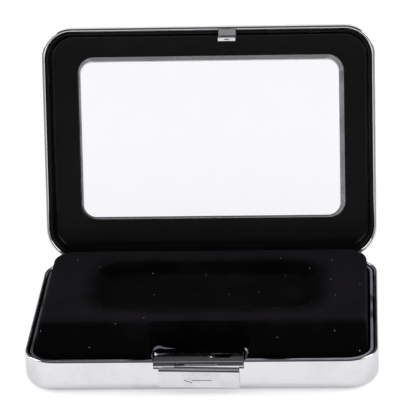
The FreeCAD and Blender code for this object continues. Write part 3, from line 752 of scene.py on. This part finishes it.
housing = {
    "left": -11.9, "right": 11.3, "top": 8.85, "sheet": 0.4,
    "roll": 1.05, "stretch": 1.2,  # the rolled nose is taller than it is deep
    "droop": 0.25,  # the plate's fall to its rear edge
    "reach": 5.9, "rearBend": 0.6, "flangeFoot": 6.3,
    "cheek": (8.1, 0.85),  # foot height, and how far before the wall
    "lugWindow": (-6.55, 4.95, 7.2, 8.45),  # X from, to, Z from, to
    "slot": {"x": 5.25, "y": 3.55, "length": 5.9, "width": 3.0, "corner": 1.44},
    "leg": (3.0, 3.9),  # width, foot height
    "edge": 0.07,
}


def makeHousing():
    first, last, sheet, top, roll, stretch, rear, droop, reach, flangeFoot, slot, edge = pick(
        housing, "left right sheet top roll stretch rearBend droop reach flangeFoot slot edge")
    high = roll * stretch
    rollZ, rearY, rearZ = top - high, front + reach - rear, top - rear - droop
    nose = circle(172, 90, 19)
    away = np.linspace(0.1, 1, 10)[:-1, None]
    outside = np.vstack([nose * [roll, high] + [front, rollZ],
                         np.hstack([front + (rearY - front) * away, top - droop * away ** 2]),
                         arc((rearY, rearZ), rear, 90, 0, 9), [(rearY + rear, flangeFoot)]])
    inside = np.vstack([[(rearY + rear - sheet, flangeFoot)],
                        arc((rearY, rearZ), rear - sheet, 0, 90, 5),
                        nose[::-1] * [roll - sheet, high - sheet] + [front, rollZ]])
    profile = np.vstack([supported(outside), supported(inside)])
    piece = addPiece("latchHousing", [prismPart(profile, first, last)])
    left, right, low, high = housing["lugWindow"]
    feet, normals = roundedPath(slot["length"], slot["width"], slot["corner"], perCorner=10, spacing=1.0)
    outline = feet + normals * slot["corner"] + [slot["x"], front + slot["y"]]
    carve(piece, [boxPart((left, front - 2, low), (right, front - 0.15, high)),
                  prismPart(outline, top - 2 * sheet, top + sheet, axis=2)])
    softEdges(piece, edge)
    (width, foot), (cheekFoot, cheekOut) = housing["leg"], housing["cheek"]
    inner, under, cheekOut = front + case["sheet"], top - sheet / 2, front - cheekOut
    hair = 0.02  # keeps joined metal from lying in one plane
    cheek = np.array([(inner, cheekFoot), (inner, under), (front - 0.1, under), (cheekOut, rollZ + 0.5),
                      (cheekOut, cheekFoot)])
    sides = [springStud(first + sheet / 2, first + sheet / 2 + 1.0)]
    for start, end, legStart in ((first + hair, first + sheet, first + 2 * hair),
                                 (last - sheet, last - hair, last - width)):
        sides += [prismPart(cheek, start, end),
                  boxPart((start, inner, flangeFoot), (end, rearY + sheet, under)),
                  boxPart((legStart, inner + hair, foot),
                          (legStart + width - 3 * hair, inner + sheet, under - hair))]
    extra = addPiece("latchHousing.sides", sides)
    softEdges(extra, edge)
    joinInto(piece, extra)
    finishPiece(piece, "tray", "chrome_latch", "latch_housing")


def joinInto(piece, extra):
    # one mesh from two, with the second object removed
    work = bmesh.new()
    work.from_mesh(piece.data)
    work.from_mesh(extra.data)
    work.to_mesh(piece.data)
    work.free()
    bpy.data.objects.remove(extra)
    smooth(piece, 35)


slider = {
    "left": -10.6, "right": 10.2,
    "bottom": 1.9, "thumbTop": 6.35, "joggle": 1.2, "step": 0.14, "shoulderTop": 7.95,
    "outY": 1.25, "inY": 0.6,  # front faces of the thumb plate and shoulder, before the wall
    "sheet": 0.4,
    "corner": 0.55,
    "tilt": 1.24, "pivot": 0.45,  # degrees, and the X it hangs from
    "lug": (-3.9, 4.8),
    "blade": (-6.0, 3.75, 1.2, 4.4),  # X from, to, Y from, to behind the front
    "bladeTop": 8.15, "bladeDrop": 2.45,  # its foot lies this far below the rim
    "bendOut": 0.5, "bendIn": 0.3, "lugBend": 0.5,
    "hollow": 0.05,  # a slight inward bow across the plate
    "edge": 0.05,
}
arrow = {
    "tip": (-3.95, 4.15),
    "barb": 1.75,
    "barbRise": 0.72,
    "tail": (-2.0, 2.85),
    "stroke": 0.3, "slant": 0.16,  # half the width of a stroke, and of its sloping side
    "depth": 0.1,
    "pressed": (1.0, 0.35, 0.8),  # how deep the lower barb, the upper barb and the tail went in
}


def segmentDistance(x, z, first, second):
    stepX, stepZ = second[0] - first[0], second[1] - first[1]
    share = ((x - first[0]) * stepX + (z - first[1]) * stepZ) / (stepX ** 2 + stepZ ** 2)
    share = np.clip(share, 0, 1)
    return np.hypot(x - first[0] - share * stepX, z - first[1] - share * stepZ)


def arrowDepth(x, z):
    # pressed strokes: two barbs and a tail, with sloping sides
    (tipX, tipZ), barb, rise, (start, end), stroke, slant, depth, pressed = pick(
        arrow, "tip barb barbRise tail stroke slant depth pressed")
    strokes = [((tipX, tipZ), (tipX + barb, tipZ - rise)), ((tipX, tipZ), (tipX + barb, tipZ + rise)),
               ((start, tipZ), (end, tipZ))]
    return depth * np.maximum.reduce([share * easeStep((stroke - segmentDistance(x, z, *ends)) / slant)
                                      for share, ends in zip(pressed, strokes)])


def makeSlider():
    left, right, bottom, thumbTop, joggle, step, shoulderTop, sheet, corner, lug, edge = pick(
        slider, "left right bottom thumbTop joggle step shoulderTop sheet corner lug edge")
    bendOut, bendIn, lugBend, lugTop, (bladeLeft, bladeRight, start, end) = pick(
        slider, "bendOut bendIn lugBend bladeTop blade")
    outY, inY, start, end = front - slider["outY"], front - slider["inY"], front + start, front + end
    high, margin = thumbTop + joggle, 0.08
    fold = math.degrees(math.atan2(inY - outY, joggle - step))
    halfY, halfZ = (outY + inY) / 2, thumbTop + joggle / 2
    outBack, inBack = (bend * math.tan(math.radians(fold) / 2) for bend in (bendOut, bendIn))
    line = np.vstack([[(outY, bottom)],
                      arc((outY + bendOut, thumbTop - outBack), bendOut, 180, 180 - fold, 7),
                      [(halfY, halfZ - step / 2), (halfY, halfZ + step / 2)],
                      arc((inY - bendIn, high + inBack), bendIn, -fold, 0, 7),
                      arc((inY + lugBend, lugTop - lugBend), lugBend, 180, 90, 9),
                      [(start, lugTop)]])
    along = np.concatenate([[0], np.cumsum(np.linalg.norm(np.diff(line, axis=0), axis=1))])
    shoulder = np.interp(shoulderTop, line[:, 1], along)
    # rows up the plate and columns across it, close together where the arrow is pressed
    places = np.unique(np.concatenate([along, np.linspace(0, 0.6, 7), np.linspace(1.2, 3.4, 52),
                                       [along[1] - margin, shoulder]]).round(5))
    y, z = (np.interp(places, along, line[:, k]) for k in (0, 1))
    x = np.unique(np.concatenate([np.linspace(left, right, 30), np.linspace(-4.4, 3.4, 140), lug,
                                  [left + margin, right - margin]]).round(5))
    gridX, gridY = np.meshgrid(x, y)
    gridZ = np.broadcast_to(z[:, None], gridX.shape).copy()
    # round lower corners: the half width shrinks along a quarter circle
    shrink = corner * (1 - np.sqrt(1 - (1 - np.clip(places / corner, 0, 1)) ** 2))
    middle, half = (left + right) / 2, (right - left) / 2
    gridX = middle + (gridX - middle) * ((half - shrink) / half)[:, None]
    gridY = gridY + arrowDepth(gridX, gridZ)
    hollow = slider["hollow"] * (1 - ((gridX - middle) / half) ** 2)
    gridY = gridY + hollow * (gridZ < thumbTop + 0.2)
    # the plate hangs a little askew: its height falls from left to right, up to the shoulder
    slack = easeStep((shoulderTop - 0.15 - gridZ) / 0.3)
    gridZ = gridZ - slack * math.tan(math.radians(slider["tilt"])) * (gridX - slider["pivot"])
    points = np.dstack([gridX, gridY, gridZ]).reshape(-1, 3)
    # above the shoulder only the lug goes on, over the rim to the blade
    quads = gridQuads(*gridX.shape).reshape(len(places) - 1, len(x) - 1, 4)
    onLug = (x[:-1] > lug[0] - 0.01) & (x[1:] < lug[1] + 0.01)
    kept = (places[1:] < shoulder + 0.01)[:, None] | onLug[None]
    face = addPiece("latchSlider", [(points, quads[kept].tolist())], sharp=60)
    if sum(polygon.normal.y * polygon.area for polygon in face.data.polygons) > 0:
        face.data.flip_normals()
    modify(face, "SOLIDIFY", thickness=sheet * mm, offset=-1.0)
    softEdges(face, edge, limit=65, sharp=60)
    foot, hair = case["rim"] - slider["bladeDrop"], 0.02
    parts = [boxPart((bladeLeft, start, lugTop - sheet), (bladeRight, end, lugTop)),
             boxPart((bladeLeft + hair, start + hair, foot), (bladeLeft + sheet, end - hair, lugTop - hair)),
             springStud(bladeLeft + 0.2, bladeLeft - 0.8)]
    extra = addPiece("latchSlider.blade", parts)
    softEdges(extra, edge)
    joinInto(face, extra)
    finishPiece(face, "slider", "chrome_latch", "latch_slider")


def makeSpring():
    # a helix along X: centre (x, r cos t, r sin t), with closed turns at both ends
    start, length, wire, radius, turns, (axisY, axisZ) = pick(
        spring, "start length wire radius turns axis")
    turn = np.linspace(0, 2 * np.pi * (turns + 1), 260)
    travel = np.interp(turn / turn[-1], [0, 0.1, 0.9, 1], [0, 0.05, 0.95, 1])
    x = start + wire / 2 + (length - wire) * travel
    around = np.column_stack([np.zeros_like(turn), np.cos(turn), np.sin(turn)])
    centres = around * radius + np.column_stack([x, np.full_like(x, axisY), np.full_like(x, axisZ)])
    along = np.tile([1.0, 0.0, 0.0], (len(turn), 1))
    piece = addPiece("latchSpring", [tubePart(centres, np.full(len(turn), wire / 2), around, along, 10)])
    # the positions of its two ends go to finishPiece, which only bakes the spring's placing into its mesh
    ends = [(x[k] * mm, axisY * mm, axisZ * mm) for k in (0, -1)]
    finishPiece(piece, "tray", "spring_steel", "latch_spring", stretched=["slider"] + ends)


hinge = {
    "length": 56.0, "knuckles": 5, "gap": 0.15, "outer": 1.15, "bore": 0.7, "reach": 4.3, "clear": 1.3,
    "pin": 0.65, "dome": 0.35,  # radius, and height of its rounded ends
    "curlEnd": 215,  # degrees of roll round the pin
}


def leafParts(centre, up, own):
    # knuckles are the strip rolled round the pin, its seam left open; between them the strip is cut back.
    # up is 1 where the strip stands above the axis.
    outer, bore, reach, clear, curlEnd, length, knuckles, gap = pick(
        hinge, "outer bore reach clear curlEnd length knuckles gap")
    outY, inY = centre[0] - outer, centre[0] - bore
    tip, low = centre[1] + up * reach, centre[1] + up * clear
    end = 180 + up * (curlEnd + 90)
    rolled = np.vstack([[(outY, tip)], arc(centre, outer, 180, end, 33), arc(centre, bore, end, 180, 29),
                        [(inY, tip)]])
    short = np.array([(outY, tip), (outY, low), (inY, low), (inY, tip)])
    pitch, gap = length / knuckles, gap / 2
    parts = []
    for count in range(knuckles):
        start = -length / 2 + count * pitch
        if count % 2 == own:
            parts.append(prismPart(rolled, start + gap * (count > 0),
                                   start + pitch - gap * (count < knuckles - 1)))
        else:
            parts.append(prismPart(short, start - gap, start + pitch + gap))
    return parts


def makeHinge():
    axis = (back + case["hingeOffset"], case["rim"])
    leaf = addPiece("hingeLeafTray", leafParts(axis, -1, 0))
    finishPiece(leaf, "tray", "hinge_steel", "hinge_leaf_tray")
    leaf = addPiece("hingeLeafLid", leafParts((0.0, 0.0), 1, 1), opened=True)
    finishPiece(leaf, "lid", "hinge_steel", "hinge_leaf_lid")
    dome = np.radians(np.linspace(0, 80, 7))
    places = hinge["length"] / 2 - hinge["dome"] * (1 - np.sin(dome))
    radii = hinge["pin"] * np.cos(dome)
    places, radii = np.concatenate([-places[::-1], places]), np.concatenate([radii[::-1], radii])
    pin = addPiece("hingePin", [rodPart(places, radii, axis)], sharp=60)
    finishPiece(pin, "tray", "hinge_steel", "hinge_pin")


catch = {
    "left": 3.05, "right": 7.85, "sheet": 0.5, "reach": 3.6, "leg": 3.6, "hook": 3.2, "rim": 0.05,
    "bend": 0.2, "bite": (0.95, -1.35, -0.55), "hole": 0.4, "holeZ": -0.95,
    "lip": 1.0, "mouth": (0.75, 0.22),  # depth of the folded end, and half the sizes of its oval hole
    "edge": 0.09,
}


def makeCatch():
    left, right, sheet, rim, bend, reach, high, drop, lip, (bite, biteLow, biteHigh) = pick(
        catch, "left right sheet rim bend reach leg hook lip bite")
    # the end is folded thicker, and cut so that it stands upright with the lid open
    leg, hook, low = lidFront + case["sheet"], lidFront + reach, -drop
    bendCentre = (hook - sheet - bend, rim - bend)
    profile = np.vstack([[(leg, rim)], arc(bendCentre, bend, 90, 0, 5),
                         [(hook - sheet, low + 0.8), (hook - lip, low + 0.6), (hook - lip, low),
                          (hook, low + 0.24 * lip)],
                         arc(bendCentre, sheet + bend, 0, 90, 9),
                         arc((leg + sheet + bend, rim + sheet + bend), bend, 270, 180, 5),
                         [(leg + sheet, high), (leg, high)]])
    piece = addPiece("lidCatch", [prismPart(profile, left, right)])
    middle = (left + right) / 2
    ring = circle(0, 360, 33)[:-1]
    carve(piece, [boxPart((left - 1, hook - 1, biteLow), (left + bite, hook + 0.5, biteHigh)),
                  prismPart([middle, catch["holeZ"]] + ring * catch["hole"], hook - 1.5, hook + 0.5, axis=1),
                  prismPart([middle, hook - lip / 2] + ring * catch["mouth"], low - 0.5, low + 0.45, axis=2)])
    softEdges(piece, catch["edge"])
    for vertex in piece.data.vertices:
        vertex.co = turnOpen(np.array([vertex.co]) / mm)[0] * mm
    finishPiece(piece, "lid", "chrome_latch", "lid_catch")


studio = {
    "floor": "#F4F4F5", "floorPale": "#F7F7F8", "floorReach": 4.0,
    "floorGlow": 0.42,  # to the camera
    "floorInGlass": 0.28,
    "floorInMetal": 0.2,
    "ambient": 0.5,
    "roomLow": 0.33,  # level with the case behind the camera; the white backdrop is 1
    "roomHigh": 0.07,
    "roomTurn": (-0.3, 0.3),  # Y of the direction, over which room turns into backdrop
    "roomRise": (0.12, 0.35),  # Z of the direction, over which it darkens upwards
    "skylight": (0.0, 0.64, 0.77),  # towards the soft light above the backdrop
    "skylightRim": (0.955, 0.98),  # cosine of the angle to it, at its outer and inner rim
    "skylightLevel": 0.36,
    "lamps": [((-0.8, 0.05, 0.6), 0.6, 3.2), ((0.8, 0.05, 0.6), 0.6, 3.2)],  # place, size, watts
    "lampAim": (0.0, 0.0, 0.02),
    "lens": 239.62, "sensor": 36,
    "target": (-4.22, 90.22, 0.0), "distance": 827.0,  # mm
    "yaw": 3.651, "pitch": 22.767, "roll": -2.016,  # degrees
}


def worldStrength(tree):
    # Diffuse light comes evenly from all round and the camera sees white. Metal and glass see a white
    # backdrop low behind the case, a grey room behind the camera, and a dark one above with a soft light.
    rays = addNode(tree, "ShaderNodeLightPath")
    way = addNode(tree, "ShaderNodeTexCoord")["Generated"]
    parts = addNode(tree, "ShaderNodeSeparateXYZ", {0: way})
    low = spread(parts["Y"], *studio["roomTurn"], studio["roomLow"], 1.0)
    room = blend(spread(parts["Z"], *studio["roomRise"]), low, studio["roomHigh"], "FLOAT")
    toLight = addNode(tree, "ShaderNodeVectorMath", {0: way, 1: studio["skylight"]},
                      operation="DOT_PRODUCT")["Value"]
    room = combine("ADD", room, spread(toLight, *studio["skylightRim"], 0.0, studio["skylightLevel"]))
    metal = combine("MAXIMUM", rays["Is Glossy Ray"], rays["Is Transmission Ray"])
    return blend(rays["Is Camera Ray"], blend(metal, studio["ambient"], room, "FLOAT"), 1.0, "FLOAT")


def makeStudio():
    scene = bpy.context.scene
    world = bpy.data.worlds.new("studio")
    world.use_nodes = True
    scene.world = world
    background = world.node_tree.nodes["Background"].inputs
    feed(background["Color"], "#FFFFFF")
    feed(background["Strength"], worldStrength(world.node_tree))
    mesh = bpy.data.meshes.new("floor")
    far = studio["floorReach"]
    mesh.from_pydata([(-far, -far, 0), (far, -far, 0), (far, far, 0), (-far, far, 0)], [], [(0, 1, 2, 3)])
    floor = addObject("floor", mesh)
    material, place = newMaterial("pale paper floor", Roughness=0.9, Specular_IOR_Level=0.0,
                                  Emission_Color="#FFFFFF")
    rays = addNode(material.node_tree, "ShaderNodeLightPath")
    glow = 0.0
    for ray, key in (("Glossy", "floorInMetal"), ("Transmission", "floorInGlass"), ("Camera", "floorGlow")):
        glow = blend(rays["Is %s Ray" % ray], glow, studio[key], "FLOAT")
    feed(material.node_tree.nodes["Principled BSDF"].inputs["Emission Strength"], glow)
    paper = blend(patches(place, 60.0), studio["floor"], studio["floorPale"])
    mesh.materials.append(paint(material, paper))
    for count, (place, size, power) in enumerate(studio["lamps"]):
        lamp = bpy.data.lights.new("softbox%d" % count, "AREA")
        lamp.size = size
        lamp.energy = power
        holder = addObject(lamp.name, lamp)
        aim = Vector(studio["lampAim"]) - Vector(place)
        holder.location = place
        holder.rotation_euler = aim.to_track_quat("-Z", "Y").to_euler()
    camera = bpy.data.cameras.new("camera")
    camera.lens = studio["lens"]
    camera.sensor_width = studio["sensor"]
    camera.clip_end = 50
    eye = addObject("camera", camera)
    yaw, pitch, roll = (math.radians(angle) for angle in pick(studio, "yaw pitch roll"))
    turned = (Matrix.Rotation(yaw, 4, "Z") @ Matrix.Rotation(math.pi / 2 - pitch, 4, "X")
              @ Matrix.Rotation(roll, 4, "Z"))
    turned.translation = (Vector(studio["target"]) + turned.col[2].xyz * studio["distance"]) * mm
    eye.matrix_world = turned
    scene.camera = eye
    scene.view_settings.view_transform = "Standard"


for make in (makeTrayShell, makeLidShell, makeLidLiner, makeTrayLiner, makeFilmCurls, makeInsert, makeHousing,
             makeSlider, makeSpring, makeHinge, makeCatch, makeStudio):
    make()
print("studio ready")
